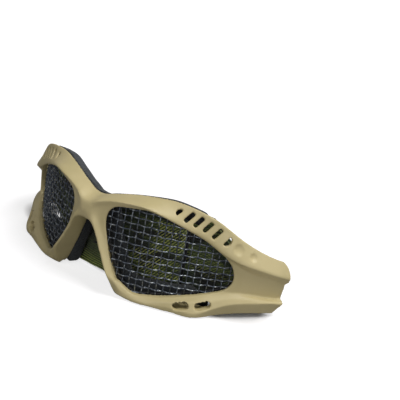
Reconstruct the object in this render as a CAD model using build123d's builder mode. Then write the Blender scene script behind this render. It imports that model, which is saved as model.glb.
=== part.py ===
"""Mesh safety goggles: a one-piece moulded frame, two woven wire lenses held by rings,
foam on the rear edges, and a wide elastic strap folded away behind the lenses.

X runs across the face with the wearer's left at +X, -Y is the front, and Z is up. The goggles
stand on their lower rim at z = 0. All lengths are millimetres.
"""
import math
import os
from build123d import *

os.makedirs("parts", exist_ok=True)

# Plan curve of the front: three arcs and a straight, each half from the nose to the temple end
wrap_length = 108.0
nose_radius = 55.5
lens_radius = 120.0
temple_radius = 70.0
nose_turn = 20.0
lens_turn = 46.0
temple_turn = 66.0
curve_front = -28.75
# Frame
frame_height = 53.0
shelf_depth = 8.3
nose_wall_depth = 9.0
brow_stand = 3.2
rim_bulge = 6.6
brow_wall = 2.0
floor_wall = 1.5
seat_setback = 1.6
rear_trim = 1.4
# Vents and holes
vent_count = 6
vent_pitch = 4.8
vent_length = 6.2
vent_width = 2.2
vent_corner = 0.5
vent_tilt = 50.0
front_vent_radius = 2.1
rear_vent_radius = 2.6
dimple_radius = 2.7
dimple_depth = 0.7
rim_hole_length = 8.0
rim_hole_width = 3.4
rim_hole_tilt = 14.0
# Strap bars at the temple ends
bar_radius = 1.5
bar_setback = 9.0
bar_depth = 5.6
lug_length = 6.0
lug_thickness = 2.2
lug_lip = 1.0
# Lenses and their rings
mesh_pitch = 3.5
mesh_wire = 0.7
mesh_thickness = 1.2
lens_margin = 1.4
ring_width = 1.6
ring_thickness = 1.6
# Foam
foam_thickness = 6.0
foam_height = 8.0
foam_round = 1.2
foam_drop = 0.3
foam_fall = 2.0
# Strap and slider
strap_width = 40.0
strap_thickness = 1.5
strap_end_width = 20.0
strap_end_rise = 3.1
near_fold_radius = 2.0
far_fold_radius = 3.5
ply_gap = 0.3
loop_tail = 12.0
merge_radius = 8.0
slack_length = 48.0
slider_place = 13.0
slider_length = 15.0
slider_bar = 3.0
slider_plate = 1.6
slider_wall = 1.0
# Fits
part_gap = 0.3
skin_gap = 0.1
overrun = 20.0

nose_end = nose_radius * math.radians(nose_turn)
lens_end = nose_end + lens_radius * math.radians(lens_turn - nose_turn)
temple_end = lens_end + temple_radius * math.radians(temple_turn - lens_turn)


def heading(s):
    """Direction of the plan curve at arc length s, in radians from +X."""
    if s < 0:
        return -heading(-s)
    if s < nose_end:
        return s / nose_radius
    if s < lens_end:
        return math.radians(nose_turn) + (s - nose_end) / lens_radius
    if s < temple_end:
        return math.radians(lens_turn) + (s - lens_end) / temple_radius
    return math.radians(temple_turn)


nose_centre = Vector(0, curve_front + nose_radius)
nose_stop = nose_centre + Vector(0, -nose_radius).rotate(Axis.Z, nose_turn)
lens_centre = nose_stop + Vector(0, lens_radius).rotate(Axis.Z, nose_turn)
lens_stop = lens_centre + Vector(0, -lens_radius).rotate(Axis.Z, lens_turn)
temple_centre = lens_stop + Vector(0, temple_radius).rotate(Axis.Z, lens_turn)
temple_stop = temple_centre + Vector(0, -temple_radius).rotate(Axis.Z, temple_turn)


def outward(s):
    """Unit normal of the plan curve at s, away from the face."""
    return Vector(math.sin(heading(s)), -math.cos(heading(s)))


def along(s):
    """Unit tangent of the plan curve at s, towards the temple."""
    return Vector(math.cos(heading(s)), math.sin(heading(s)))


def mirrored(place):
    """The same place on the other side of the face."""
    return Vector(-place.X, place.Y, place.Z)


def spot(s, n=0, z=0):
    """The place s along the plan curve, n outwards of it and z above the table."""
    if s < 0:
        return mirrored(spot(-s, n, z))
    if s < nose_end:
        base = nose_centre + outward(s) * nose_radius
    elif s < lens_end:
        base = lens_centre + outward(s) * lens_radius
    elif s < temple_end:
        base = temple_centre + outward(s) * temple_radius
    else:
        base = temple_stop + along(s) * (s - temple_end)
    return base + outward(s) * n + Vector(0, 0, z)


# Edges of the frame's section, as shares, at stations along the plan curve
station_shares = (0, 0.028, 0.051, 0.074, 0.102, 0.134, 0.171, 0.19, 0.213, 0.269,
                  0.333, 0.407, 0.481, 0.556, 0.63, 0.704, 0.778, 0.852, 0.926, 1)
top_z_shares = (0.879, 0.883, 0.892, 0.908, 0.923, 0.938, 0.953, 0.96, 0.968, 0.983,
                0.994, 1, 0.986, 0.951, 0.887, 0.795, 0.708, 0.632, 0.568, 0.519)
top_n_shares = (-0.97, -0.98, -1, -1, -1, -0.98, -0.98, -0.98, -0.98, -0.97,
                -0.93, -0.78, -0.53, -0.3, -0.12, -0.03, 0, 0, 0, 0)
crown_lift_shares = (1.2, 1.1, 0.5, 0.25, 0.15, 0.15, 0.15, 0.15, 0.15, 0.15,
                     0.15, 0.15, 0.15, 0.15, 0.15, 0.15, 0.15, 0.15, 0.15, 0.15)
edge_z_shares = (0.783, 0.792, 0.853, 0.879, 0.898, 0.911, 0.923, 0.927, 0.932, 0.936,
                 0.906, 0.855, 0.804, 0.742, 0.652, 0.582, 0.535, 0.483, 0.425, 0.366)
edge_n_shares = (0.94, 0.97, 0.88, 0.63, 0.44, 0.38, 0.41, 0.478, 0.56, 0.63,
                 0.38, 0.12, 0.12, 0.19, 0.62, 1.19, 1.48, 1.42, 1.25, 1)
under_z_shares = (0.755, 0.764, 0.802, 0.823, 0.842, 0.86, 0.875, 0.884, 0.894, 0.902,
                  0.879, 0.836, 0.783, 0.719, 0.627, 0.547, 0.468, 0.415, 0.365, 0.327)
under_n_shares = (0.97, 0.94, 0.44, 0.16, 0.03, 0, 0, 0.014, 0.03, 0.06,
                  0, -0.12, -0.12, -0.06, 0.16, 0.38, 0.47, 0.5, 0.5, 0.5)
floor_z_shares = (0.717, 0.717, 0.726, 0.651, 0.538, 0.406, 0.268, 0.227, 0.177, 0.106,
                  0.087, 0.115, 0.149, 0.187, 0.23, 0.242, 0.231, 0.205, 0.172, 0.153)
floor_n_shares = (0.91, 0.91, 0.56, 0.25, 0.09, 0, 0, 0.054, 0.12, 0.12,
                  0.12, 0.12, 0.12, 0.12, 0.12, 0.16, 0.12, 0.1, 0.1, 0.1)
sill_z_shares = (0.687, 0.685, 0.675, 0.589, 0.46, 0.336, 0.226, 0.192, 0.151, 0.079,
                 0.066, 0.096, 0.13, 0.168, 0.211, 0.228, 0.22, 0.197, 0.168, 0.151)
sill_n_shares = (0.41, 0.44, 0.48, 0.45, 0.44, 0.45, 0.39, 0.322, 0.24, 0.17,
                 0.17, 0.24, 0.23, 0.18, 0.12, 0.18, 0.29, 0.32, 0.35, 0.36)
swell_z_shares = (0.672, 0.67, 0.66, 0.574, 0.445, 0.319, 0.204, 0.165, 0.105, 0.053,
                  0.047, 0.074, 0.106, 0.14, 0.162, 0.196, 0.202, 0.186, 0.163, 0.149)
swell_n_shares = (0.39, 0.44, 0.55, 0.5, 0.48, 0.53, 0.58, 0.5, 0.4, 0.29,
                  0.34, 0.48, 0.59, 0.64, 0.55, 0.42, 0.45, 0.47, 0.48, 0.48)
keel_z_shares = (0.66, 0.658, 0.645, 0.558, 0.43, 0.302, 0.165, 0.07, 0.035, 0.026,
                 0.025, 0.038, 0.049, 0.045, 0.091, 0.149, 0.168, 0.168, 0.157, 0.147)
keel_n_shares = (0.36, 0.41, 0.56, 0.5, 0.5, 0.56, 0.6, 0.22, 0.28, 0.34,
                 0.46, 0.58, 0.77, 1, 0.76, 0.62, 0.61, 0.61, 0.61, 0.61)
base_z_shares = (0.647, 0.645, 0.623, 0.534, 0.411, 0.283, 0.115, 0, 0, 0,
                 0, 0, 0, 0, 0.01, 0.03, 0.04, 0.037, 0.024, 0.02)
base_n_shares = (0.3, 0.35, 0.52, 0.45, 0.47, 0.53, 0.25, -0.3, -0.12, 0.28,
                 0.45, 0.56, 0.74, 0.97, 0.52, 0.27, 0.21, 0.2, 0.18, 0.18)
heel_z_shares = (0.647, 0.645, 0.623, 0.534, 0.411, 0.283, 0.17, 0.08, 0, 0,
                 0, 0, 0, 0, 0.01, 0.03, 0.04, 0.037, 0.024, 0.02)
heel_n_shares = (0.89, 0.89, 0.89, 0.89, 0.89, 0.89, 0.89, 0.83, 0.75, 0.72,
                 0.72, 0.72, 0.72, 0.72, 0.44, 0.24, 0.2, 0.2, 0.2, 0.2)
floor_wall_shares = (1.5, 1.6, 2.2, 2.6, 2.4, 2.1, 1.5, 1.455, 1.4, 1.2,
                     1, 1, 1, 1, 1.1, 1.4, 1.4, 1.4, 1.4, 1.4)
pocket_n_shares = (-0.18, -0.2, -0.24, -0.3, -0.33, -0.33, -0.3, -0.21, -0.1, -0.03,
                   -0.03, 0.21, 0.44, 0.65, 0.27, -0.12, -0.26, -0.26, -0.26, -0.26)
seat_n_shares = (0.4, 0.45, 0.62, 0.88, 1, 1, 1, 1, 1, 1,
                 1, 1, 1, 1, 1, 1, 1, 1, 1, 1)
pocket_rise_share = 0.12
seat_drop_share = 0.75
crown_share = 0.85

stations = [share * wrap_length for share in station_shares]


def rail(n_shares, n_size, z_shares):
    """One edge of the frame as a list of (n, z), one for each station."""
    return [(n * n_size, z * frame_height) for n, z in zip(n_shares, z_shares)]


top_edge = rail(top_n_shares, shelf_depth, top_z_shares)
brow_edge = rail(edge_n_shares, brow_stand, edge_z_shares)
under_edge = rail(under_n_shares, brow_stand, under_z_shares)
floor_edge = rail(floor_n_shares, brow_stand, floor_z_shares)
sill_edge = rail(sill_n_shares, rim_bulge, sill_z_shares)
swell_edge = rail(swell_n_shares, rim_bulge, swell_z_shares)
keel_edge = rail(keel_n_shares, rim_bulge, keel_z_shares)
base_edge = rail(base_n_shares, rim_bulge, base_z_shares)
heel_n = [-share * nose_wall_depth for share in heel_n_shares]
heel_z = [share * frame_height for share in heel_z_shares]
floor_top = [z + share * floor_wall for z, share in zip(heel_z, floor_wall_shares)]
pocket_n = [share * rim_bulge for share in pocket_n_shares]
seat_n = [-share * seat_setback for share in seat_n_shares]


def between(values, s):
    """The value at s of a rail or a row of numbers, straight between stations."""
    k = max(i for i in range(len(stations) - 1) if stations[i] <= s)
    t = (s - stations[k]) / (stations[k + 1] - stations[k])
    a, b = values[k], values[k + 1]
    if isinstance(a, tuple):
        return tuple(p + (q - p) * t for p, q in zip(a, b))
    return a + (b - a) * t


def brow_line(k):
    """Crown of the brow at station k, and the two ends of its inner face."""
    top = Vector(*top_edge[k])
    edge = Vector(*brow_edge[k])
    lift = Vector(-(edge - top).Y, (edge - top).X).normalized()
    crown = top + (edge - top) * crown_share + lift * crown_lift_shares[k] * brow_wall
    run = crown - top
    inward = Vector(run.Y, -run.X).normalized() * brow_wall
    reach = min(1 / crown_share, (seat_n[k] - top.X - inward.X) / run.X)
    return crown, top + inward + run * reach, top + inward


def outline(k):
    """Corners of the frame's section at station k."""
    crown, tip, back = brow_line(k)
    floor_n, floor_z = floor_edge[k]
    sill_n, sill_z = sill_edge[k]
    return [top_edge[k], (crown.X, crown.Y), brow_edge[k], under_edge[k], floor_edge[k],
            sill_edge[k], swell_edge[k], keel_edge[k], base_edge[k],
            (heel_n[k], heel_z[k]), (heel_n[k], floor_top[k]),
            (pocket_n[k], floor_top[k] + pocket_rise_share * floor_wall),
            (seat_n[k], max(sill_z - seat_drop_share * seat_setback,
                            floor_top[k] + 2 * pocket_rise_share * floor_wall)),
            (tip.X, tip.Y), (back.X, back.Y)]


def station_plane(s):
    """Upright plane square to the plan curve, with its x outwards and its y up."""
    return Plane(origin=spot(s), x_dir=outward(s), z_dir=-along(s))


with BuildPart() as half:
    for k, s in enumerate(stations):
        with BuildSketch(station_plane(s)):
            with BuildLine():
                Polyline(*outline(k), close=True)
            make_face()
    loft()


def wrap_arcs(s0, s1, n):
    """Arcs of the plan curve offset by n from s0 to s1, drawn in the open BuildLine."""
    ends = [nose_end, lens_end, temple_end]
    stops = [s for s in ends + [-s for s in ends] if min(s0, s1) < s < max(s0, s1)]
    marks = sorted([s0, s1] + stops, reverse=s0 > s1)
    for a, b in zip(marks, marks[1:]):
        if min(abs(a), abs(b)) < temple_end:
            ThreePointArc(spot(a, n), spot((a + b) / 2, n), spot(b, n))
        else:
            Line(spot(a, n), spot(b, n))


def plan_strip(s0, s1, n0, n1):
    """Face in the plan between two offsets of the plan curve."""
    with BuildSketch() as strip:
        with BuildLine():
            wrap_arcs(s0, s1, n0)
            Line(spot(s1, n0), spot(s1, n1))
            wrap_arcs(s1, s0, n1)
            Line(spot(s0, n1), spot(s0, n0))
        make_face()
    return strip.sketch


# Lens opening, seen square to the middle of the lens
lens_mid_share = 0.41
opening_s_shares = (0.168, 0.137, 0.117, 0.104, 0.114, 0.141, 0.189, 0.245, 0.306, 0.343,
                    0.407, 0.481, 0.556, 0.630, 0.674, 0.704, 0.715, 0.709, 0.685, 0.631,
                    0.556, 0.481, 0.407, 0.327, 0.254, 0.206)
opening_z_shares = (0.253, 0.409, 0.551, 0.694, 0.796, 0.849, 0.875, 0.891, 0.898, 0.883,
                    0.840, 0.787, 0.725, 0.638, 0.566, 0.483, 0.396, 0.319, 0.262, 0.219,
                    0.175, 0.138, 0.102, 0.074, 0.089, 0.158)
lens_mid = lens_mid_share * wrap_length
lens_plane = Plane(origin=spot(lens_mid), x_dir=along(lens_mid), z_dir=outward(lens_mid))
lens_far = max(opening_s_shares) * wrap_length + 2 * lens_margin + ring_width
opening_places = [(s_share * wrap_length, z_share * frame_height)
                  for s_share, z_share in zip(opening_s_shares, opening_z_shares)]


def outline_face(places):
    """Face on the lens plane inside a smooth curve through places given as (s, z)."""
    local = [lens_plane.to_local_coords(spot(s, 0, z)) for s, z in places]
    points = [Vector(point.X, point.Y) for point in local]
    half_count = len(points) // 2
    ends = (points[1] - points[-1], points[half_count + 1] - points[half_count - 1])
    with BuildSketch() as face:
        with BuildLine():
            Spline(*points[:half_count + 1], tangents=ends)
            Spline(*points[half_count:], points[0], tangents=ends[::-1])
        make_face()
    return face.sketch


def grown(places, margin):
    """The same outline moved outwards by margin."""
    moved = []
    for k, (s, z) in enumerate(places):
        before = places[k - 1]
        after = places[(k + 1) % len(places)]
        run = Vector(after[0] - before[0], after[1] - before[1]).normalized()
        moved.append((s - run.Y * margin, z + run.X * margin))
    return moved


opening_face = outline_face(opening_places)
opening_band = plan_strip(0, lens_far, -seat_setback - skin_gap, rim_bulge)

with BuildPart() as opening_cut:
    with BuildSketch():
        add(opening_band)
    extrude(amount=frame_height)
    with BuildSketch(lens_plane.offset(-overrun)):
        add(opening_face)
    extrude(amount=2 * overrun, mode=Mode.INTERSECT)

# Vents along the brow, dimples behind them and oblong holes in the lower rim
vent_start_share = 0.428
vent_down_share = 0.47
dimple_s_shares = (0.713, 0.784)
dimple_size_shares = (1, 0.74)
dimple_down_share = 0.46
rim_hole_s_shares = (0.5, 0.594)
rim_hole_z_shares = (0.081, 0.115)


def brow_plane(s, down_share):
    """Plane on the brow band at s, down_share of its width below the top, x along the wrap."""
    top = Vector(*between(top_edge, s))
    edge = Vector(*between(brow_edge, s))
    place = top + (edge - top) * down_share
    rise = (top - edge).normalized()
    face = outward(s) * rise.Y + Vector(0, 0, -rise.X)
    return Plane(origin=spot(s, place.X, place.Y), x_dir=along(s), z_dir=face)


with BuildPart() as vent_cut:
    for k in range(vent_count):
        s = vent_start_share * wrap_length + k * vent_pitch
        with BuildSketch(brow_plane(s, vent_down_share)):
            if 0 < k < vent_count - 1:
                RectangleRounded(vent_length, vent_width, vent_corner, rotation=vent_tilt)
            else:
                radius = rear_vent_radius if k else front_vent_radius
                with BuildLine():
                    bow = CenterArc((0, 0), radius, vent_tilt - 180 * (k > 0), 180)
                    Line(bow @ 1, bow @ 0)
                make_face()
        extrude(amount=2 * brow_wall, both=True)
    for s_share, z_share in zip(rim_hole_s_shares, rim_hole_z_shares):
        s = s_share * wrap_length
        start = spot(s, 2 * rim_bulge, z_share * frame_height)
        with BuildSketch(Plane(origin=start, x_dir=along(s), z_dir=outward(s))):
            SlotOverall(rim_hole_length, rim_hole_width, rotation=rim_hole_tilt)
        extrude(amount=-2 * rim_bulge - seat_setback)

with BuildPart() as dimple_cut:
    for s_share, size_share in zip(dimple_s_shares, dimple_size_shares):
        radius = size_share * dimple_radius
        ball = (radius ** 2 + dimple_depth ** 2) / (2 * dimple_depth)
        with Locations(brow_plane(s_share * wrap_length, dimple_down_share).offset(ball - dimple_depth)):
            Sphere(ball)

# Temple end, seen square to the temple, in shares of its length from the band's top and of the height
end_s = wrap_length - rear_trim
temple_plane = Plane(origin=spot(end_s), x_dir=along(end_s), z_dir=outward(end_s))
end_length = 5.6
end_bow_back_share = 0.3
end_bow_share = 0.506
end_side_share = 0.42
end_notch_share = 0.343
end_panel_back_share = 0.21
end_panel_top_share = 0.321
end_ridge_top_share = 0.155
end_ridge_back_share = 0.39
end_ridge_share = 0.132
end_heel_back_share = 1.04


def end_place(back_share, z_share):
    """A place on the temple plane, back_share of the end's length before its rear edge."""
    return (-back_share * end_length, z_share * frame_height)


band_start = (-end_length, between(top_edge, end_s - end_length)[1])
with BuildPart() as end_cut:
    with BuildSketch(temple_plane.offset(-overrun)):
        with BuildLine():
            bow = ThreePointArc(band_start, end_place(end_bow_back_share, end_bow_share),
                                end_place(0, end_side_share))
            Polyline(bow @ 1, end_place(0, end_notch_share),
                     end_place(end_panel_back_share, end_panel_top_share),
                     end_place(end_panel_back_share, end_ridge_top_share),
                     end_place(end_ridge_back_share, end_ridge_share),
                     (-end_heel_back_share * end_length, -skin_gap), (overrun, -skin_gap),
                     (overrun, frame_height), (-end_length, frame_height), bow @ 0)
        make_face()
    extrude(amount=2 * overrun)
    with BuildSketch():
        Rectangle(2 * wrap_length, 2 * wrap_length)
    extrude(amount=-overrun)

# Strap bars behind the temple ends, as tall as the strap's narrow ends need
strap_lift = skin_gap + slider_wall + part_gap
strap_end_low = strap_lift + strap_end_rise
strap_end_high = strap_end_low + strap_end_width
bar_s = wrap_length - bar_setback
lug_face = plan_strip(bar_s - lug_length / 2, bar_s + lug_length / 2,
                      -bar_depth - bar_radius - lug_lip, -seat_setback + skin_gap)

with BuildPart() as strap_bar:
    with BuildSketch(Plane.XY.offset(strap_end_low - part_gap)):
        with Locations(spot(bar_s, -bar_depth)):
            Circle(bar_radius)
    extrude(amount=strap_end_width + 2 * part_gap)
    for low in (strap_end_low - part_gap - lug_thickness, strap_end_high + part_gap):
        with BuildSketch(Plane.XY.offset(low)):
            add(lug_face)
        extrude(amount=lug_thickness)

with BuildPart() as frame:
    add(half.part)
    add(strap_bar.part)
    add(opening_cut.part, mode=Mode.SUBTRACT)
    add(vent_cut.part, mode=Mode.SUBTRACT)
    add(dimple_cut.part, mode=Mode.SUBTRACT)
    add(end_cut.part, mode=Mode.SUBTRACT)
    mirror(about=Plane.YZ)
frame.part.label = "frame"
export_step(frame.part, "parts/frame.step")

# Lens: a woven wire net with square openings, cut to the opening's outline and its margin
mesh_front = -seat_setback - skin_gap
mesh_back = mesh_front - mesh_thickness
mesh_band = plan_strip(0, lens_far, mesh_back, mesh_front)


def tucked(s, z, depth):
    """A place on a lens piece's edge, moved clear of the brow and of the nose wall behind the seat."""
    top = Vector(*between(top_edge, s))
    edge = Vector(*between(brow_edge, s))
    fall = (top - edge).Y / (edge - top).X
    roof = edge.Y + (edge.X - mesh_front) * fall - brow_wall * math.hypot(1, fall)
    deep = s + depth * math.tan(heading(lens_mid) - heading(s))
    ground = max(between(floor_top, s), between(floor_top, deep))
    slope = (between(floor_top, deep + lens_margin) - between(floor_top, deep)) / lens_margin
    clear = 2 * pocket_rise_share * floor_wall + part_gap * math.hypot(1, slope)
    return s, min(max(z, ground + clear), roof - part_gap)


margin_places = grown(opening_places, lens_margin)
lens_face = outline_face([tucked(s, z, mesh_back) for s, z in margin_places])
limit_face = outline_face(grown(opening_places, -mesh_wire)).faces()[0]
mesh_opening = mesh_pitch - mesh_wire
reach = math.ceil(wrap_length / mesh_pitch / 2)
mesh_holes = []
for i in range(-reach, reach + 1):
    for j in range(2 * reach):
        centre = Vector(i * mesh_pitch, j * mesh_pitch)
        corners = [centre + Vector(a * mesh_opening / 2, b * mesh_opening / 2)
                   for a in (-1, 1) for b in (-1, 1)]
        if all(limit_face.is_inside(corner) for corner in corners):
            mesh_holes.append(centre)

with BuildSketch() as mesh_face:
    add(lens_face)
    with Locations(*mesh_holes):
        Rectangle(mesh_opening, mesh_opening, mode=Mode.SUBTRACT)

with BuildPart() as mesh_lens_left:
    with BuildSketch():
        add(mesh_band)
    extrude(amount=frame_height)
    with BuildSketch(lens_plane.offset(-overrun)):
        add(mesh_face.sketch)
    extrude(amount=2 * overrun, mode=Mode.INTERSECT)
mesh_lens_left.part.label = "mesh_lens_left"
export_step(mesh_lens_left.part, "parts/mesh_lens_left.step")

with BuildPart() as mesh_lens_right:
    mirror(mesh_lens_left.part, about=Plane.YZ)
mesh_lens_right.part.label = "mesh_lens_right"
export_step(mesh_lens_right.part, "parts/mesh_lens_right.step")

# Ring that holds each lens against its seat
ring_back = mesh_back - ring_thickness
ring_band = plan_strip(0, lens_far, ring_back, mesh_back)
ring_places = [tucked(s, z, ring_back) for s, z in margin_places]
with BuildPart() as lens_ring_left:
    with BuildSketch():
        add(ring_band)
    extrude(amount=frame_height)
    with BuildSketch(lens_plane.offset(-overrun)):
        add(outline_face(ring_places))
    extrude(amount=2 * overrun, mode=Mode.INTERSECT)
    with BuildSketch(lens_plane.offset(-overrun)):
        add(outline_face(grown(ring_places, -ring_width)))
    extrude(amount=2 * overrun, mode=Mode.SUBTRACT)
lens_ring_left.part.label = "lens_ring_left"
export_step(lens_ring_left.part, "parts/lens_ring_left.step")

with BuildPart() as lens_ring_right:
    mirror(lens_ring_left.part, about=Plane.YZ)
lens_ring_right.part.label = "lens_ring_right"
export_step(lens_ring_right.part, "parts/lens_ring_right.step")

# Foam on the rear edges of the brow and of the lower rim
foam_first = 1
brow_foam_last = 13
cheek_top_z_shares = (0.715, 0.725, 0.74, 0.755, 0.587, 0.434, 0.37,
                      0.264, 0.16, 0.157, 0.157, 0.157, 0.157, 0.145)


def foam_outline(front, low, high, fall):
    """Corners of a foam section from its front; the rear is rounded and its top lies fall lower."""
    rear = front - foam_thickness
    bevel = fall * foam_round / foam_thickness
    return [(front, low), (rear + foam_round, low), (rear, low + foam_round),
            (rear, high - fall - foam_round), (rear + foam_round, high - fall + bevel), (front, high)]


with BuildPart() as foam_brow:
    for k in range(brow_foam_last + 1):
        crown, tip, back = brow_line(k)
        high = top_edge[k][1] - foam_drop
        with BuildSketch(station_plane(stations[k])):
            with BuildLine():
                Polyline(*foam_outline(back.X - skin_gap, high - foam_height, high, foam_fall),
                         close=True)
            make_face()
    loft()
    mirror(about=Plane.YZ)
foam_brow.part.label = "foam_brow"
export_step(foam_brow.part, "parts/foam_brow.step")

with BuildPart() as foam_cheek_left:
    for k, top_share in enumerate(cheek_top_z_shares, foam_first):
        low = base_edge[k][1] + foam_drop
        with BuildSketch(station_plane(stations[k])):
            with BuildLine():
                Polyline(*foam_outline(heel_n[k] - skin_gap, low, top_share * frame_height, 0),
                         close=True)
            make_face()
    loft()
foam_cheek_left.part.label = "foam_cheek_left"
export_step(foam_cheek_left.part, "parts/foam_cheek_left.step")

with BuildPart() as foam_cheek_right:
    mirror(foam_cheek_left.part, about=Plane.YZ)
foam_cheek_right.part.label = "foam_cheek_right"
export_step(foam_cheek_right.part, "parts/foam_cheek_right.step")

# Strap: one elastic band from the left bar to the right bar, folded behind the foam
near_fold_share = 0.444
far_fold_share = 0.26
taper_start_share = 0.6
taper_stop_share = 0.83
ply_step = strap_thickness + ply_gap
near_n = -(nose_wall_depth + foam_thickness + 2 * skin_gap + part_gap + strap_thickness / 2)
middle_n = near_n - 2 * near_fold_radius
loop_radius = bar_radius + skin_gap + strap_thickness / 2
bar_place = spot(bar_s, -bar_depth)


def left_of(run):
    """Unit vector to the left of a direction in the plan."""
    return Vector(-run.Y, run.X).normalized()


def straight(centre_a, turn_a, centre_b, turn_b):
    """Ends of the straight between two bends; a turn is the bend's radius, negative to the right."""
    run = centre_b - centre_a
    angle = math.atan2(run.Y, run.X) - math.asin((turn_b - turn_a) / run.length)
    left = Vector(-math.sin(angle), math.cos(angle))
    return centre_a - left * turn_a, centre_b - left * turn_b


def bend(centre, start, stop, left=True):
    """Arc round centre from start to stop, to the left or the right, in the open BuildLine."""
    a = math.atan2((start - centre).Y, (start - centre).X)
    b = math.atan2((stop - centre).Y, (stop - centre).X)
    sweep = (b - a) % (2 * math.pi) if left else -((a - b) % (2 * math.pi))
    middle = centre + (start - centre).rotate(Axis.Z, math.degrees(sweep / 2))
    ThreePointArc(start, middle, stop)


# Near ply: from the sewn loop on one bar to the first fold
near_bar = mirrored(bar_place)
near_run = straight(near_bar, loop_radius, mirrored(lens_centre), lens_radius + near_n)
near_along = (near_run[1] - near_run[0]).normalized()
sewn_end = near_run[0] + near_along * loop_tail + left_of(near_along) * ply_step
sewn_run = straight(sewn_end, 0, near_bar, loop_radius)
near_fold = near_fold_share * wrap_length
far_fold = far_fold_share * wrap_length
# Far ply: from the second fold straight to the other bar, and the slack back beside it
far_centre = spot(far_fold, middle_n - far_fold_radius)
far_run = straight(far_centre, -far_fold_radius, bar_place, loop_radius)
far_along = (far_run[1] - far_run[0]).normalized()
far_side = left_of(far_along)
merge_end = far_run[1] - far_along * loop_tail + far_side * ply_step
merge_centre = merge_end + far_side * merge_radius
merge_run = straight(bar_place, loop_radius, merge_centre, -merge_radius)

with BuildLine() as strap_path:
    Line(sewn_end, sewn_run[1])
    bend(near_bar, sewn_run[1], near_run[0])
    Line(*near_run)
    bend(mirrored(lens_centre), near_run[1], spot(-nose_end, near_n))
    wrap_arcs(-nose_end, near_fold, near_n)
    bend(spot(near_fold, near_n - near_fold_radius), spot(near_fold, near_n),
         spot(near_fold, middle_n))
    wrap_arcs(near_fold, far_fold, middle_n)
    bend(far_centre, spot(far_fold, middle_n), far_run[0], False)
    Line(*far_run)
    bend(bar_place, far_run[1], merge_run[0])
    Line(*merge_run)
    bend(merge_centre, merge_run[1], merge_end, False)
    Line(merge_end, merge_end - far_along * slack_length)
print("strap length", sum(edge.length for edge in strap_path.edges()))
strap_low = strap_lift
strap_high = strap_lift + strap_width

with BuildPart() as strap_band:
    with BuildSketch(Plane.XY.offset(strap_low)):
        trace(strap_path.edges(), line_width=strap_thickness)
    extrude(amount=strap_width)
    with BuildSketch(Plane.XZ.offset(-2 * wrap_length)):
        with BuildLine():
            half_profile = Polyline((0, strap_high),
                                    (taper_start_share * bar_place.X, strap_high),
                                    (taper_stop_share * bar_place.X, strap_end_high),
                                    (2 * wrap_length, strap_end_high),
                                    (2 * wrap_length, strap_end_low),
                                    (taper_stop_share * bar_place.X, strap_end_low),
                                    (taper_start_share * bar_place.X, strap_low),
                                    (0, strap_low))
            mirror(about=Plane.YZ)
        make_face()
    extrude(amount=4 * wrap_length, mode=Mode.INTERSECT)
strap_band.part.label = "strap_band"
export_step(strap_band.part, "parts/strap_band.step")

# Slider: two bars in front of the far plies, one behind them, and the walls that join them
slider_low = strap_low - part_gap - slider_wall
slider_high = strap_high + part_gap + slider_wall
slider_front = -strap_thickness / 2 - part_gap - slider_plate
slider_rear = ply_step + strap_thickness / 2 + part_gap + slider_plate
bar_shift = (slider_length - slider_bar) / 2
slider_origin = far_run[0] + far_along * slider_place
slider_plane = Plane(origin=slider_origin, x_dir=far_along, z_dir=Vector(0, 0, 1))

with BuildPart() as strap_slider:
    with BuildSketch(slider_plane.offset(slider_low)):
        with Locations((0, (slider_front + slider_rear) / 2)):
            Rectangle(slider_length, slider_rear - slider_front)
    extrude(amount=slider_high - slider_low)
    with BuildSketch(slider_plane.offset(slider_low + slider_wall)):
        with Locations((0, (slider_front + slider_rear) / 2)):
            Rectangle(slider_length + overrun, slider_rear - slider_front + overrun)
        with Locations((-bar_shift, slider_front + slider_plate / 2),
                       (bar_shift, slider_front + slider_plate / 2),
                       (0, slider_rear - slider_plate / 2)):
            Rectangle(slider_bar, slider_plate, mode=Mode.SUBTRACT)
    extrude(amount=strap_width + 2 * part_gap, mode=Mode.SUBTRACT)
strap_slider.part.label = "strap_slider"
export_step(strap_slider.part, "parts/strap_slider.step")
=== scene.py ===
"""Mesh safety goggles on a pale table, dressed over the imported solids. Lengths are in metres."""
import math
import bmesh
import bpy
import numpy as np
from mathutils import Matrix, Vector


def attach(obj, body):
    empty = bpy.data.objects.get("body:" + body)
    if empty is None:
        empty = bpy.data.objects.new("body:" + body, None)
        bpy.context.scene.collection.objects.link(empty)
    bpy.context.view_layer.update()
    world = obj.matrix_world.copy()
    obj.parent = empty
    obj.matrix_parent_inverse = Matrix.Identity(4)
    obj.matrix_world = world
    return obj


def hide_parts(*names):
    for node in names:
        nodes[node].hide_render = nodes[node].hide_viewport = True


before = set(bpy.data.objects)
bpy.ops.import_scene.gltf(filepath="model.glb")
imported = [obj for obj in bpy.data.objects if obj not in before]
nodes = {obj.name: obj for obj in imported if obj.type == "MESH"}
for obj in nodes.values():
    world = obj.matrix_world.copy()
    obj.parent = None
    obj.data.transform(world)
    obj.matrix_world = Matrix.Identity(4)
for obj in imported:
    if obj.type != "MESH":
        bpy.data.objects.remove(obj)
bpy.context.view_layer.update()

# Moulded frame. One piece of tan satin plastic: brow band, nose bridge, lower rim, temple ends.
# Its corners are rounded as a mould leaves them, and most of all round the nose bridge and at
# the lowest inner corner of each lens opening.
frame_cell, frame_passes, softer_passes = 0.00048, 1, 30
merges_in_cell, pass_pull = 500, 0.5
bridge_reach, bridge_fade = 0.0161, 0.0115
corner_x, corner_y, corner_z = 0.0213, -0.0251, 0.0097
corner_reach, corner_fade, corner_share = 0.006, 0.004, 0.5


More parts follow.
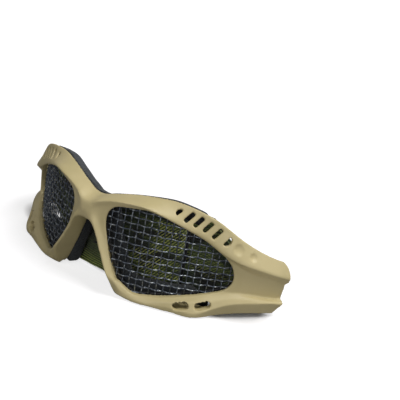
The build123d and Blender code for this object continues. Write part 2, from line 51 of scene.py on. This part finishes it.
class Tap:
    """An output on a board of nodes. Sums and products add Math nodes."""

    def __init__(self, board, socket):
        self.board = board
        self.socket = socket

    def __add__(self, other):
        return self.board.node("Math", {"operation": "ADD"}, {0: self, 1: other})

    def __mul__(self, other):
        return self.board.node("Math", {"operation": "MULTIPLY"}, {0: self, 1: other})

    __radd__ = __add__
    __rmul__ = __mul__


class Board:
    """A board of shader nodes, emptied first."""

    def __init__(self, tree):
        self.tree = tree
        self.tree.nodes.clear()

    def node(self, kind, settings=None, sockets=None, out=0):
        """Adds a node: first its settings, then the values or links of its sockets.

        A socket, and the output that is returned, is given by its name or its place.
        """
        made = self.tree.nodes.new("ShaderNode" + kind)
        for key, value in (settings or {}).items():
            setattr(made, key, value)
        for key, value in (sockets or {}).items():
            if isinstance(value, Tap):
                self.tree.links.new(value.socket, made.inputs[key])
            else:
                made.inputs[key].default_value = value
        return Tap(self, made.outputs[out]) if made.outputs else None


class Finish(Board):
    """A material with its board."""

    def __init__(self, name):
        self.material = bpy.data.materials.new(name)
        self.material.use_nodes = True
        super().__init__(self.material.node_tree)

    def place(self):
        """Object coordinates."""
        return self.node("TexCoord", out="Object")

    def noise(self, where, scale, detail=2.0, rough=0.5, twist=0.0):
        """Soft noise round 0.5, with about as many waves to a metre as its scale."""
        return self.node("TexNoise", None, {"Vector": where, "Scale": scale, "Detail": detail,
                                            "Roughness": rough, "Distortion": twist})

    def mix(self, share, low, high):
        """A colour between low and high: the Mix node's colours are its sockets 6 and 7."""
        return self.node("Mix", {"data_type": "RGBA"}, {0: share, 6: low, 7: high}, out=2)

    def spread(self, value, low, high, start=0.0, stop=1.0):
        """A value carried evenly from low..high to start..stop, and held there."""
        return self.node("MapRange", None, {0: value, 1: low, 2: high, 3: start, 4: stop})

    def surface(self, colour, roughness, relief, depth, **fixed):
        """Closes the board with one Principled shader; relief is a height, depth its metres."""
        sockets = {"Base Color": colour, "Roughness": roughness}
        sockets.update({key.replace("_", " "): value for key, value in fixed.items()})
        sockets["Normal"] = self.node("Bump", None, {"Height": relief, "Distance": depth})
        shader = self.node("BsdfPrincipled", None, sockets)
        self.node("OutputMaterial", None, {"Surface": shader})


def tone(red, green, blue):
    """A colour given as its 0 to 255 screen values, as the shader's linear values."""
    values = np.array([red, green, blue]) / 255
    linear = np.where(values < 0.04045, values / 12.92, ((values + 0.055) / 1.055) ** 2.4)
    return (*linear.tolist(), 1.0)


def linked(name, data):
    """An object with this mesh, lamp or camera, put in the scene."""
    made = bpy.data.objects.new(name, data)
    bpy.context.scene.collection.objects.link(made)
    return made


def rounded_copy(node, name, cell, passes, extra=0, share=None):
    """The node's solid rebuilt from even cells, each point then drawn to its neighbours' mean.

    Each extra pass draws a point by its share, which share(points) gives from 0 to 1.
    """
    mesh = nodes[node].data.copy()
    solid = bmesh.new()
    solid.from_mesh(mesh)
    bmesh.ops.remove_doubles(solid, verts=solid.verts, dist=cell / merges_in_cell)
    solid.to_mesh(mesh)
    solid.free()
    piece = linked(name, mesh)
    cells = piece.modifiers.new("cells", "REMESH")
    cells.mode = "VOXEL"
    cells.voxel_size = cell
    whole = piece.evaluated_get(bpy.context.evaluated_depsgraph_get())
    piece.data = bpy.data.meshes.new_from_object(whole)
    piece.modifiers.clear()
    mesh = piece.data
    points = np.empty(len(mesh.vertices) * 3)
    mesh.vertices.foreach_get("co", points)
    points = points.reshape(-1, 3)
    ends = np.empty(len(mesh.edges) * 2, int)
    mesh.edges.foreach_get("vertices", ends)
    a, b = ends.reshape(-1, 2).T
    total = len(points)
    count = np.bincount(a, minlength=total) + np.bincount(b, minlength=total)

    def drawn(part):
        """Each point carried by its part of the way to the mean of its neighbours."""
        sums = [np.bincount(a, points[b, k], total) + np.bincount(b, points[a, k], total)
                for k in range(3)]
        return points + part * (np.array(sums).T / count[:, None] - points)

    for _ in range(passes):
        points = drawn(pass_pull)
    for _ in range(extra):
        points = drawn(pass_pull * share(points)[:, None])
    mesh.vertices.foreach_set("co", points.ravel())
    mesh.update()
    mesh.shade_smooth()
    return piece


def dress(piece, node, material, body):
    """Hides the node that the piece stands for, and gives the piece its material, in its only
    slot, and its body.
    """
    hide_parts(node)
    piece.data.materials.clear()
    piece.data.materials.append(material)
    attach(piece, body)


def softened(points):
    """1 at the middle of the nose bridge, falling evenly to 0 at its reach to both sides.

    Near the lowest inner corner of each lens opening it rises evenly to the corner's share.
    """
    aside = np.abs(points[:, 0])
    in_plan = np.hypot(aside - corner_x, points[:, 1] - corner_y)
    from_corner = np.hypot(in_plan, points[:, 2] - corner_z)
    bridge = np.clip((bridge_reach - aside) / bridge_fade, 0, 1)
    corner = np.clip((corner_reach - from_corner) / corner_fade, 0, corner_share)
    return np.maximum(bridge, corner)


tan_dark, tan_light = tone(186, 172, 124), tone(196, 181, 134)
tan_scale, tan_span = 45, (0.35, 0.65)
gloss_scale, gloss_span, tan_roughness = 160, (0.3, 0.7), (0.44, 0.54)
tan_specular = 0.6
grain_scale, flow_relief, fine_depth = 5200, 2.0, 0.00002

tan = Finish("tan_plastic")
spot = tan.place()
shade = tan.spread(tan.noise(spot, tan_scale, 3.0), *tan_span)
flow = tan.noise(spot, gloss_scale)
tan.surface(tan.mix(shade, tan_dark, tan_light), tan.spread(flow, *gloss_span, *tan_roughness),
            tan.noise(spot, grain_scale) + flow * flow_relief, fine_depth,
            Specular_IOR_Level=tan_specular)

moulding = rounded_copy("frame", "frame_moulding", frame_cell, frame_passes,
                        softer_passes, softened)
dress(moulding, "frame", tan.material, "goggles")

# Woven wire lenses. Stiff dark coated steel wire in plain weave, bent to the wrap of the frame.
# Each lens is cut to its opening with a margin that sits behind the frame's lip. The level
# wires are bolder and wave more than the upright ones. These sizes are in mm.
mm_in_metre = 1000
wire_pitch = 3.5
upright_radius, level_radius = 0.29, 0.36
upright_wave, level_wave = 0.3, 0.42
wire_sides, steps_per_cell, nudge = 8, 8, 0.01
weave_depth = -2.3
wrap_front = -28.75
wrap_arcs = ((55.5, 20), (120.0, 26), (70.0, 20))
lens_middle, lens_reach, lens_margin = 44.3, 40, 1.1
lens_edge = np.array([
    (18.1, 13.4), (14.8, 21.7), (12.6, 29.2), (11.2, 36.8), (12.3, 42.2), (15.2, 45.0),
    (20.4, 46.4), (26.5, 47.2), (33.0, 47.6), (37.0, 46.8), (44.0, 44.5), (51.9, 41.7),
    (60.0, 38.4), (68.0, 33.8), (72.8, 30.0), (76.0, 25.6), (77.2, 21.0), (76.6, 16.9),
    (74.0, 13.9), (68.1, 11.6), (60.0, 9.3), (51.9, 7.3), (44.0, 5.4), (35.3, 3.9),
    (27.4, 4.7), (22.2, 8.4)])
wire_dark, wire_worn = tone(84, 90, 100), tone(170, 175, 178)
worn_scale, worn_span, coat_scale = 700, (0.5, 0.7), 7000
wire_roughness, wire_metal = 0.28, 0.9


def wrap(s, n):
    """Places in the plan, in mm, at arc length s along the front and n outwards of it.

    The heading turns evenly through each of three arcs and is straight after them.
    """
    reach = np.abs(s)
    x, y, heading, start = np.zeros_like(reach), np.full_like(reach, wrap_front), 0.0, 0.0
    for radius, turn in wrap_arcs:
        turned = heading + np.clip((reach - start) / radius, 0, math.radians(turn))
        x += radius * (np.sin(turned) - np.sin(heading))
        y += radius * (np.cos(heading) - np.cos(turned))
        start += radius * math.radians(turn)
        heading = turned
    rest = np.maximum(reach - start, 0)
    x += rest * np.cos(heading) + n * np.sin(heading)
    y += rest * np.sin(heading) - n * np.cos(heading)
    return np.where(s < 0, -x, x), y


def edge_crossings(level, axis):
    """Where the lens's edge crosses a line of constant s (axis 0) or constant z (axis 1).

    The edge's points are first moved outwards by the margin, square to their neighbours' line.
    """
    run = np.roll(lens_edge, -1, 0) - np.roll(lens_edge, 1, 0)
    out = np.stack([-run[:, 1], run[:, 0]], 1) / np.linalg.norm(run, axis=1)[:, None]
    first = lens_edge + out * lens_margin
    second = np.roll(first, -1, 0)
    side = (first[:, axis] - level) * (second[:, axis] - level) < 0
    share = (level - first[side, axis]) / (second[side, axis] - first[side, axis])
    other = 1 - axis
    return np.sort(first[side, other] + share * (second[side, other] - first[side, other]))


def ring_faces(rows, around):
    """Quads between rings of points that follow each other, and the two end caps.

    They face outwards, because every ring runs right-handed about the way ahead.
    """
    i, j = np.meshgrid(np.arange(rows - 1), np.arange(around), indexing="ij")
    k = (j + 1) % around
    corners = [i * around + j, i * around + k, (i + 1) * around + k, (i + 1) * around + j]
    ring, last = np.arange(around), (rows - 1) * around
    return np.stack(corners, -1).reshape(-1, 4), np.stack([ring[::-1], ring + last])


def tubes(name, paths, sides, radii):
    """Round wires: each path's points carry a ring whose first direction is the side given."""
    angle = np.arange(wire_sides) * 2 * math.pi / wire_sides
    points, faces, start = [], [], 0
    for path, side, radius in zip(paths, sides, radii):
        ahead = np.gradient(path, axis=0)
        ahead /= np.linalg.norm(ahead, axis=1)[:, None]
        across = np.cross(ahead, side)
        across /= np.linalg.norm(across, axis=1)[:, None]
        ring = (np.cos(angle)[None, :, None] * side[:, None] +
                np.sin(angle)[None, :, None] * across[:, None])
        points.append((path[:, None] + radius * ring).reshape(-1, 3))
        quads, caps = ring_faces(len(path), wire_sides)
        faces += (quads + start).tolist() + (caps + start).tolist()
        start += len(path) * wire_sides
    mesh = bpy.data.meshes.new(name)
    mesh.from_pydata((np.concatenate(points) / mm_in_metre).tolist(), [], faces)
    mesh.update()
    mesh.shade_smooth()
    return linked(name, mesh)


def woven_lens(name, hand_side):
    """Plain weave on the wrap: wires at even pitch wave as a cosine, over one and under one."""
    paths, sides, radii = [], [], []
    reach = int(lens_reach / wire_pitch) + 1
    for i in range(-reach, reach + 1):
        s = lens_middle + i * wire_pitch
        for low, high in edge_crossings(s, 0).reshape(-1, 2):
            z = np.linspace(low, high, int((high - low) / wire_pitch * steps_per_cell) + 2)
            n = weave_depth + upright_wave * np.cos(math.pi * (z / wire_pitch + i))
            x, y = wrap(np.full_like(z, s), n)
            paths.append(np.stack([hand_side * x, y, z], 1))
            next_x, next_y = wrap(np.full_like(z, s + nudge), n)
            across = np.stack([hand_side * (next_x - x), next_y - y, 0 * z], 1)
            sides.append(across / np.linalg.norm(across, axis=1)[:, None])
            radii.append(upright_radius)
    for j in range(2 * reach):
        z = j * wire_pitch
        for low, high in edge_crossings(z, 1).reshape(-1, 2):
            s = np.linspace(low, high, int((high - low) / wire_pitch * steps_per_cell) + 2)
            n = weave_depth - level_wave * np.cos(math.pi * ((s - lens_middle) / wire_pitch + j))
            x, y = wrap(s, n)
            paths.append(np.stack([hand_side * x, y, np.full_like(s, z)], 1))
            sides.append(np.tile([0.0, 0.0, 1.0], (len(s), 1)))
            radii.append(level_radius)
    return tubes(name, paths, sides, radii)


wire = Finish("coated_wire")
spot = wire.place()
worn = wire.spread(wire.noise(spot, worn_scale), *worn_span)
wire.surface(wire.mix(worn, wire_dark, wire_worn), wire_roughness,
             wire.noise(spot, coat_scale), fine_depth, Metallic=wire_metal)

for hand_side, hand in ((1, "left"), (-1, "right")):
    lens = woven_lens("wire_lens_" + hand, hand_side)
    dress(lens, "mesh_lens_" + hand, wire.material, "goggles")

# Lens rings. Thin black plastic rings pressed in behind the lenses, one for each side.
# They hold the wire's cut edge against the frame's lip, and their corners are barely rounded.
ring_cell, ring_passes = 0.0003, 1
ring_black, ring_roughness = tone(34, 34, 37), (0.5, 0.62)
ring_drift, ring_grain = 300, 5000


def black_plastic(name, colour, roughness, drift_scale, grain_scale):
    """A plain moulded plastic whose roughness drifts slowly between two values."""
    black = Finish(name)
    where = black.place()
    drift = black.spread(black.noise(where, drift_scale), *gloss_span, *roughness)
    black.surface(colour, drift, black.noise(where, grain_scale), fine_depth)
    return black.material


ring_plastic = black_plastic("ring_plastic", ring_black, ring_roughness, ring_drift, ring_grain)
for hand in ("left", "right"):
    ring = rounded_copy("lens_ring_" + hand, "thin_ring_" + hand, ring_cell, ring_passes)
    dress(ring, "lens_ring_" + hand, ring_plastic, "goggles")

# Foam seals. Soft dark open-cell foam strips glued behind the brow and behind the lower rim.
# Their rear edges are cut round, and the cells leave a fine pitted surface, whose pits are painted
# darker as shade.
foam_cell, foam_passes = 0.0005, 5
foam_pit_shade, foam_top = tone(14, 16, 20), tone(40, 45, 50)
pit_scale, pit_shade_span, pit_depth, blotch_scale = 1300, (0.1, 0.5), 0.00022, 260
foam_roughness, foam_sheen, foam_sheen_roughness = 0.92, 0.15, 0.6

foam = Finish("dark_foam")
spot = foam.place()
pits = foam.node("TexVoronoi", None, {"Vector": spot, "Scale": pit_scale})
blotch = foam.noise(spot, blotch_scale, 3.0)
# Painted shade: the foam is painted darker in the pits of its cells.
foam_colour = foam.mix(foam.spread(pits, *pit_shade_span), foam_pit_shade, foam_top)
foam.surface(foam_colour, foam_roughness, pits + blotch, pit_depth,
             Sheen_Weight=foam_sheen, Sheen_Roughness=foam_sheen_roughness)
for node, name in (("foam_brow", "foam_strip_brow"), ("foam_cheek_left", "foam_strip_left"),
                   ("foam_cheek_right", "foam_strip_right")):
    strip = rounded_copy(node, name, foam_cell, foam_passes)
    dress(strip, node, foam.material, "goggles")

# Strap. Wide ribbed elastic webbing in a generic woodland camouflage, folded behind the lenses.
# It runs from one temple bar behind both lenses, folds back twice, and goes round the other
# bar. Its middle line is a row of runs: start, stop, and an arc's centre and turn, in mm.
strap_runs = (
    ((-63.14, 20.30), (-71.35, 28.75), None, 0),
    ((-71.35, 28.75), (-74.28, 25.11), (-73.04, 27.11), 1),
    ((-74.28, 25.11), (-32.75, -0.73), None, 0),
    ((-32.75, -0.73), (-13.42, -10.13), (22.06, 87.36), 1),
    ((-13.42, -10.13), (13.42, -10.13), (0.00, 26.75), 1),
    ((13.42, -10.13), (35.42, 0.99), (-22.06, 87.36), 1),
    ((35.42, 0.99), (33.21, 4.32), (34.31, 2.655), 1),
    ((33.21, 4.32), (18.76, -3.65), (-22.06, 87.36), -1),
    ((18.76, -3.65), (16.08, 2.81), (17.33, -0.46), -1),
    ((16.08, 2.81), (73.88, 24.91), None, 0),
    ((73.88, 24.91), (71.65, 29.00), (73.04, 27.11), 1),
    ((71.65, 29.00), (63.90, 23.33), None, 0),
    ((63.90, 23.33), (62.03, 22.31), (59.17, 29.78), -1),
    ((62.03, 22.31), (17.19, 5.16), None, 0))
strap_step, strap_bend = 1.6, 0.2
strap_half = 0.68
rib_pitch, rib_depth, rib_facets = 1.25, 0.16, 6
edge_radius, edge_half = 0.7, 0.02
strap_low, strap_high, strap_flat = 0.7, 41.4, 40
strap_end_low, strap_end_high = 4.5, 24.5
taper_start, taper_stop = 43.8, 60.6
front_y, front_length = -4.5, 125
sway_back, sway_back_x, sway_back_width = 1.8, -1, 5.5
sway_out, sway_out_x, sway_out_width = 2.4, -17, 4.5
sway_height, sway_curve = 16, 1.5


def strap_middle():
    """The strap's middle line in the plan, its left normals and its running length, in mm.

    A straight run goes evenly from start to stop, and an arc keeps its distance to its centre.
    Its points are a step apart or, on a tight arc, a bend apart in radians.
    """
    places, normals = [], []
    for start, stop, centre, turn in strap_runs:
        start, stop = np.array(start), np.array(stop)
        if centre is None:
            t = np.arange(0, 1, strap_step / np.linalg.norm(stop - start))[:, None]
            run = (stop - start) / np.linalg.norm(stop - start)
            places.append(start + (stop - start) * t)
            normals.append(np.tile([-run[1], run[0]], (len(t), 1)))
            continue
        a, b = [math.atan2(*(p - centre)[::-1]) for p in (start, stop)]
        sweep = ((b - a) * turn) % (2 * math.pi) * turn
        radius = np.linalg.norm(start - centre)
        count = max(int(abs(sweep) * radius / strap_step), int(abs(sweep) / strap_bend))
        angle = a + sweep * np.arange(count) / count
        ray = np.stack([np.cos(angle), np.sin(angle)], 1)
        places.append(centre + radius * ray)
        normals.append(-turn * ray)
    places, normals = np.concatenate(places), np.concatenate(normals)
    run = np.linalg.norm(np.diff(places, axis=0), axis=1)
    return places, normals, np.concatenate([[0], np.cumsum(run)])


def strap_mesh():
    """The middle line carries a flat section with ribs on both faces and thin round edges.

    The ribs are a cosine over the height, and the section narrows evenly to both ends. Below
    the nose the lower edge sways back and out by two bell curves that fade with the height.
    """
    places, normals, length = strap_middle()
    ribs = int((strap_high - strap_low) / rib_pitch)
    v = np.linspace(0, 1, ribs * rib_facets + 1)
    edge = np.clip(np.minimum(v, 1 - v) * (strap_high - strap_low) / edge_radius, 0, 1)
    rib = rib_depth * (np.cos(2 * math.pi * v * ribs + math.pi) - 1) / 2
    half = (strap_half + rib) * np.sqrt(1 - (1 - edge) ** 2) + edge_half
    height = np.concatenate([v, v[::-1]])
    depth = np.concatenate([half, -half[::-1]])
    x = places[:, 0]
    taper = np.clip((np.abs(x) - taper_start) / (taper_stop - taper_start), 0, 1)
    low = strap_low + (strap_end_low - strap_low) * taper
    high = strap_high + (strap_end_high - strap_high) * taper
    xy = places[:, None] + normals[:, None] * depth[None, :, None]
    z = low[:, None] + (high - low)[:, None] * height
    sway = (sway_back * np.exp(-((x - sway_back_x) / sway_back_width) ** 2)
            - sway_out * np.exp(-((x - sway_out_x) / sway_out_width) ** 2))
    front = (places[:, 1] < front_y) & (length < front_length)
    xy[..., 1] += (sway * front)[:, None] * np.clip(1 - z / sway_height, 0, 1) ** sway_curve
    points = np.concatenate([xy, z[..., None]], -1)
    rows, around = z.shape
    quads, caps = ring_faces(rows, around)
    mesh = bpy.data.meshes.new("strap_webbing")
    mesh.from_pydata((points.reshape(-1, 3) / mm_in_metre).tolist(), [],
                     quads.tolist() + caps.tolist())
    mesh.update()
    corner = np.empty(len(mesh.loops), int)
    mesh.loops.foreach_get("vertex_index", corner)
    layer = mesh.uv_layers.new(name="webbing")
    laid_flat = np.stack([length[corner // around], strap_flat * height[corner % around]], 1)
    layer.data.foreach_set("uv", (laid_flat / mm_in_metre).ravel())
    mesh.shade_smooth()
    return mesh


# The print and the weave follow the strap's own length and height, in metres. Pairs are the
# span of a noise, a length or a height over which a mark comes or goes.
patch_dark, patch_green = tone(40, 50, 32), tone(76, 90, 46)
# The near black of the grooves is painted shade between the ribs.
blot_black, groove_shade_black = tone(22, 26, 19), tone(14, 16, 12)
# The light yellow green on the crests of the lowest ribs is a painted highlight.
stroke_yellow, rib_highlight_yellow = tone(190, 196, 104), tone(156, 170, 70)
patch_scale, patch_stretch, patch_rough, patch_span = 90, (0.5, 1, 1), 0.6, (0.42, 0.56)
blot_scale, blot_shift, blot_span = 120, (3.1, 1.7, 0), (0.52, 0.58)
print_twist = 0.8
thread_scale, thread_slant, thread_span = 235, -48, (0.5, 0.75)
thread_twist, thread_twist_scale = 1.2, 60.0
groove_scale, groove_shade_span, groove_shade_share = 251, (0.0, 0.5), (0.5, 0.0)
fluff_scale, fluff_span, fluff_share, fluff_relief = 2600, (0.3, 0.6), (0.6, 1.0), 0.6
stroke_patch_span, stroke_start = (0.47, 0.6), (0.11, 0.132)
stroke_stop, stroke_rest = (0.148, 0.16), (1.0, 0.3)
rib_highlight_height, rib_highlight_crest_span, rib_highlight_stop = (0.0095, 0.001), (0.4, 0.9), (0.122, 0.1)
weave_relief, webbing_roughness, webbing_sheen = 0.00018, 0.86, 0.12

webbing = Finish("camouflage_webbing")
flat = webbing.node("UVMap", {"uv_map": "webbing"})
along = webbing.node("SeparateXYZ", None, {0: flat}, out="X")
up = webbing.node("SeparateXYZ", None, {0: flat}, out="Y")
stretch = webbing.node("Mapping", None, {"Vector": flat, "Scale": patch_stretch})
moved = webbing.node("Mapping", None, {"Vector": stretch, "Location": blot_shift})
slant = webbing.node("Mapping", None, {"Vector": flat,
                                       "Rotation": (0, 0, math.radians(thread_slant))})
bands = {"wave_type": "BANDS", "bands_direction": "Y"}
patches = webbing.noise(stretch, patch_scale, 3.0, patch_rough, print_twist)
blots = webbing.noise(moved, blot_scale, twist=print_twist)
threads = webbing.node("TexWave", bands, {
    "Vector": slant, "Scale": thread_scale, "Distortion": thread_twist, "Detail": 1.0,
    "Detail Scale": thread_twist_scale})
grooves = webbing.node("TexWave", bands, {"Vector": flat, "Scale": groove_scale})
fluff = webbing.noise(flat, fluff_scale)

strokes = (webbing.spread(threads, *thread_span) * webbing.spread(patches, *stroke_patch_span)
           * webbing.spread(fluff, *fluff_span, *fluff_share)
           * webbing.spread(along, *stroke_start)
           * webbing.spread(along, *stroke_stop, *stroke_rest))
# Painted highlight: the crests of the lowest ribs, on the stretch of strap behind the nose, turn
# light yellow green.
rib_highlight = (webbing.spread(up, *rib_highlight_height) * webbing.spread(grooves, *rib_highlight_crest_span)
          * webbing.spread(along, *rib_highlight_stop))
camo_and_painted_light = webbing.mix(webbing.spread(patches, *patch_span), patch_dark, patch_green)
camo_and_painted_light = webbing.mix(webbing.spread(blots, *blot_span), camo_and_painted_light, blot_black)
camo_and_painted_light = webbing.mix(strokes, camo_and_painted_light, stroke_yellow)
camo_and_painted_light = webbing.mix(rib_highlight, camo_and_painted_light, rib_highlight_yellow)
# Painted shade: the grooves between the ribs are painted darker, towards near black.
camo_and_painted_light = webbing.mix(webbing.spread(grooves, *groove_shade_span, *groove_shade_share), camo_and_painted_light, groove_shade_black)
webbing.surface(camo_and_painted_light, webbing_roughness, threads + fluff * fluff_relief, weave_relief,
                Sheen_Weight=webbing_sheen)

strap = linked("strap_webbing", strap_mesh())
dress(strap, "strap_band", webbing.material, "goggles")

# Slider. A black moulded tri-bar with rounded edges, on the doubled stretch of the strap.
# The webbing holds it by friction, so it stays where it is pushed.
slider_cell, slider_passes = 0.00035, 4
slider_black, slider_roughness = tone(30, 30, 32), (0.4, 0.55)
slider_drift, slider_grain = 260, 5200

slider_plastic = black_plastic("slider_plastic", slider_black, slider_roughness,
                               slider_drift, slider_grain)
slider = rounded_copy("strap_slider", "tri_bar_slider", slider_cell, slider_passes)
dress(slider, "strap_slider", slider_plastic, "slider")

# Table and daylight. A plain pale table, soft lamps overhead, in front, behind and at the right,
# and the photograph's angle. The camera sees the table and the room as white. Inside an oval
# round the goggles the table doesn't glow, so their soft shadow shows there.
table_reach, table_level = 4, -0.0007
oval_y, oval_squash = 0.018, 2.9
oval_edge, table_glow = (0.077, 0.086), 0.74
far_edge, far_glow = (0.2, 0.7), (0.0, 0.3)
table_inside, table_outside = tone(250, 250, 252), tone(182, 180, 182)
table_dull = tone(150, 150, 152)
room_colour, room_light, mirrored_share = (0.95, 0.97, 1.0, 1), 0.03, 0.45
white = (1, 1, 1, 1)


def clear_view(board):
    """1 on rays from the camera, straight or through something clear, and 0 on others."""
    return (board.node("LightPath", out="Is Camera Ray")
            + board.node("LightPath", out="Is Transmission Ray"))


corners = [(-table_reach, -table_reach), (table_reach, -table_reach),
           (table_reach, table_reach), (-table_reach, table_reach)]
table = linked("table", bpy.data.meshes.new("table"))
table.data.from_pydata([(*corner, table_level) for corner in corners], [], [(0, 1, 2, 3)])
pale = Finish("pale_table")
oval = pale.node("Mapping", None, {"Vector": pale.place(), "Scale": (1, oval_squash, 1),
                                   "Location": (0, -oval_y * oval_squash, 0)})
reach = pale.node("VectorMath", {"operation": "LENGTH"}, {0: oval}, out="Value")
outside = pale.spread(reach, *oval_edge)
dull = pale.node("BsdfDiffuse", None, {"Color": table_dull})
bright = pale.node("BsdfDiffuse", None, {"Color": pale.mix(outside, table_inside, table_outside)})
strength = outside * table_glow + pale.spread(reach, *far_edge, *far_glow)
glow = pale.node("Emission", None, {"Color": white, "Strength": strength})
seen = pale.node("AddShader", None, {0: bright, 1: glow})
choice = pale.node("MixShader", None, {0: clear_view(pale), 1: dull, 2: seen})
pale.node("OutputMaterial", None, {"Surface": choice})
table.data.materials.append(pale.material)

world = bpy.data.worlds.new("daylight")
bpy.context.scene.world = world
world.use_nodes = True
sky = Board(world.node_tree)
room = sky.node("Background", None, {"Color": room_colour, "Strength": room_light})
backdrop = sky.node("Background", None, {"Color": white})
shown = clear_view(sky) + sky.node("LightPath", out="Is Glossy Ray") * mirrored_share
choice = sky.node("MixShader", None, {0: shown, 1: room, 2: backdrop})
sky.node("OutputWorld", None, {"Surface": choice})

# Each lamp has its name, place, size and power.
lamps = (
    ("overhead", (0.42, 0.0, 0.93), 0.35, 5.6),
    ("front", (0.0, -0.82, 0.59), 0.5, 2.7),
    ("low right", (0.86, -0.49, 0.16), 0.3, 1.3),
    ("far right", (0.88, 0.32, 0.36), 0.4, 1.1),
    ("behind", (0.32, 0.56, 0.79), 0.4, 2.0))
lamp_target = Vector((0, 0, 0.02))
for name, place, size, power in lamps:
    light = bpy.data.lights.new(name, "AREA")
    light.size = size
    light.energy = power
    holder = linked(name, light)
    holder.location = place
    holder.rotation_euler = (lamp_target - Vector(place)).to_track_quat("-Z", "Y").to_euler()

# The camera's angles are in radians. It looks at the target and is then moved square to that
# by its shifts.
azimuth, elevation, roll = 0.60189, 0.3753, 0.18142
distance, shift_right, shift_up = 0.503478, -0.0409166, -0.0077923
focal_length = 90
target = np.array([0, -0.00525, 0.03])
back = np.array([math.sin(azimuth) * math.cos(elevation),
                 -math.cos(azimuth) * math.cos(elevation), math.sin(elevation)])
level = np.array([math.cos(azimuth), math.sin(azimuth), 0])
rise = np.cross(back, level)
across = math.cos(roll) * level + math.sin(roll) * rise
upward = math.cos(roll) * rise - math.sin(roll) * level
eye = target + distance * back - shift_right * across - shift_up * upward
view = bpy.data.cameras.new("view")
view.lens = focal_length
camera = linked("view", view)
pose = np.vstack([np.stack([across, upward, back, eye], 1), [0, 0, 0, 1]])
camera.matrix_world = Matrix(pose.tolist())
bpy.context.scene.camera = camera
bpy.context.scene.view_settings.view_transform = "Standard"
